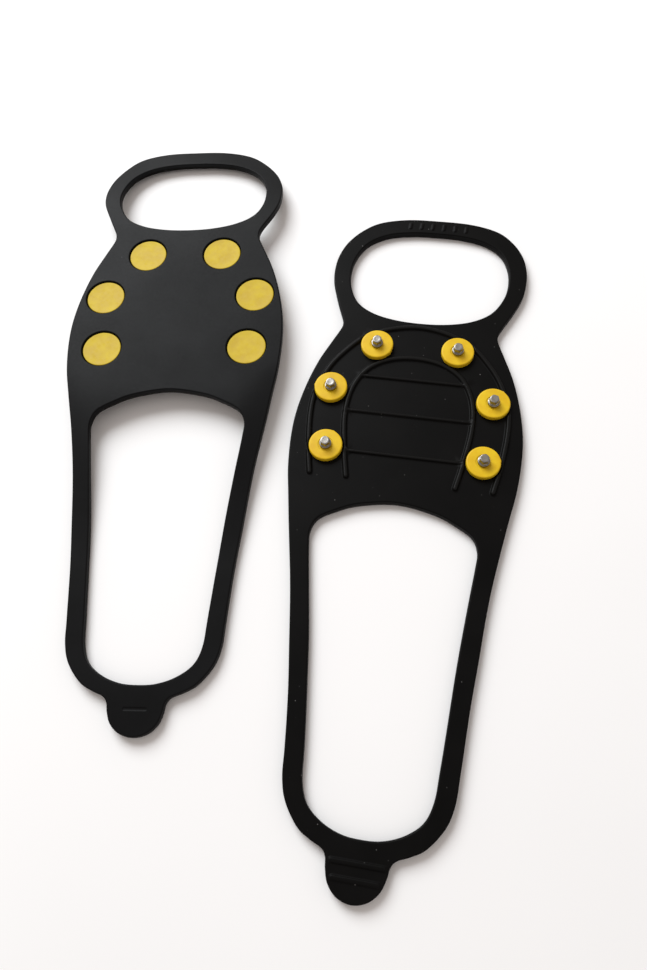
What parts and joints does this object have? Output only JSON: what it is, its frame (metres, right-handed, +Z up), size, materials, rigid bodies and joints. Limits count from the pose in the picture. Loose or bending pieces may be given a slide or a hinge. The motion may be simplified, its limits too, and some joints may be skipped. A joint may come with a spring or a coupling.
{
  "type": "shoe ice cleats",
  "caption": "Pair of slip-on rubber ice cleats: a flat stretch moulding with a toe loop, studded forefoot pad, heel strap and pull tab.",
  "frame": {"origin": "centre of the pair on the surface that it lies on", "axes": "+Z up, +Y towards the toe ends, +X from the left cleat (foot side up) to the right cleat (studs up)"},
  "size_m": [0.2022, 0.3292, 0.0096],
  "materials": {
    "moulding_rubber": "satin moulded",
    "studs_plastic": "semi-gloss moulded",
    "studs_steel": "zinc plated"
  },
  "bodies": {
    "right_pad": {"right_forefoot_pad": "moulding_rubber", "right_stud_1_button": "studs_plastic", "right_stud_1_washer": "studs_plastic", "right_stud_1_pin": "studs_steel", "right_stud_2_button": "studs_plastic", "right_stud_2_washer": "studs_plastic", "right_stud_2_pin": "studs_steel", "right_stud_3_button": "studs_plastic", "right_stud_3_washer": "studs_plastic", "right_stud_3_pin": "studs_steel", "right_stud_4_button": "studs_plastic", "right_stud_4_washer": "studs_plastic", "right_stud_4_pin": "studs_steel", "right_stud_5_button": "studs_plastic", "right_stud_5_washer": "studs_plastic", "right_stud_5_pin": "studs_steel", "right_stud_6_button": "studs_plastic", "right_stud_6_washer": "studs_plastic", "right_stud_6_pin": "studs_steel"},
    "right_toe": {"right_toe_loop": "moulding_rubber"},
    "right_bands": {"right_outer_band": "moulding_rubber", "right_inner_band": "moulding_rubber"},
    "right_heel": {"right_heel_cup": "moulding_rubber"},
    "right_tab": {"right_pull_tab": "moulding_rubber"},
    "left_pad": {"left_forefoot_pad": "moulding_rubber", "left_stud_1_button": "studs_plastic", "left_stud_1_washer": "studs_plastic", "left_stud_1_pin": "studs_steel", "left_stud_2_button": "studs_plastic", "left_stud_2_washer": "studs_plastic", "left_stud_2_pin": "studs_steel", "left_stud_3_button": "studs_plastic", "left_stud_3_washer": "studs_plastic", "left_stud_3_pin": "studs_steel", "left_stud_4_button": "studs_plastic", "left_stud_4_washer": "studs_plastic", "left_stud_4_pin": "studs_steel", "left_stud_5_button": "studs_plastic", "left_stud_5_washer": "studs_plastic", "left_stud_5_pin": "studs_steel", "left_stud_6_button": "studs_plastic", "left_stud_6_washer": "studs_plastic", "left_stud_6_pin": "studs_steel"},
    "left_toe": {"left_toe_loop": "moulding_rubber"},
    "left_bands": {"left_outer_band": "moulding_rubber", "left_inner_band": "moulding_rubber"},
    "left_heel": {"left_heel_cup": "moulding_rubber"},
    "left_tab": {"left_pull_tab": "moulding_rubber"}
  },
  "joints": [
    {"name": "right_toe_fold", "type": "hinge", "parent": "right_pad", "child": "right_toe", "pos_m": [0.05641, 0.07291, 0.0017], "axis": [0.9979, -0.0654, 0], "range_deg": [0, 90], "stiffness_Nm_per_rad": 0.02},
    {"name": "right_band_fold", "type": "hinge", "parent": "right_pad", "child": "right_bands", "pos_m": [0.04909, -0.03885, 0.0017], "axis": [-0.9979, 0.0654, 0], "range_deg": [0, 75], "stiffness_Nm_per_rad": 0.015},
    {"name": "right_heel_fold", "type": "hinge", "parent": "right_bands", "child": "right_heel", "pos_m": [0.0432, -0.12866, 0.0017], "axis": [-0.9979, 0.0654, 0], "range_deg": [0, 60], "stiffness_Nm_per_rad": 0.015},
    {"name": "right_tab_fold", "type": "hinge", "parent": "right_heel", "child": "right_tab", "pos_m": [0.04173, -0.15111, 0.0017], "axis": [-0.9979, 0.0654, 0], "range_deg": [0, 60], "stiffness_Nm_per_rad": 0.02},
    {"name": "left_toe_fold", "type": "hinge", "parent": "left_pad", "child": "left_toe", "pos_m": [-0.05641, 0.11631, 0.00755], "axis": [0.9979, 0.0654, 0], "range_deg": [0, 90], "stiffness_Nm_per_rad": 0.02},
    {"name": "left_band_fold", "type": "hinge", "parent": "left_pad", "child": "left_bands", "pos_m": [-0.04909, 0.00455, 0.00644], "axis": [-0.9979, -0.0654, 0], "range_deg": [0, 75], "stiffness_Nm_per_rad": 0.015},
    {"name": "left_heel_fold", "type": "hinge", "parent": "left_bands", "child": "left_heel", "pos_m": [-0.0432, -0.08526, 0.0017], "axis": [-0.9979, -0.0654, 0], "range_deg": [0, 60], "stiffness_Nm_per_rad": 0.015},
    {"name": "left_tab_fold", "type": "hinge", "parent": "left_heel", "child": "left_tab", "pos_m": [-0.04173, -0.10771, 0.0022], "axis": [-0.9979, -0.0654, 0], "range_deg": [0, 60], "stiffness_Nm_per_rad": 0.02},
    {"name": "left_cleat_lift", "type": "slide", "parent": "right_pad", "child": "left_pad", "axis": [0, 0, 1], "range_m": [0, 0.15]}
  ]
}
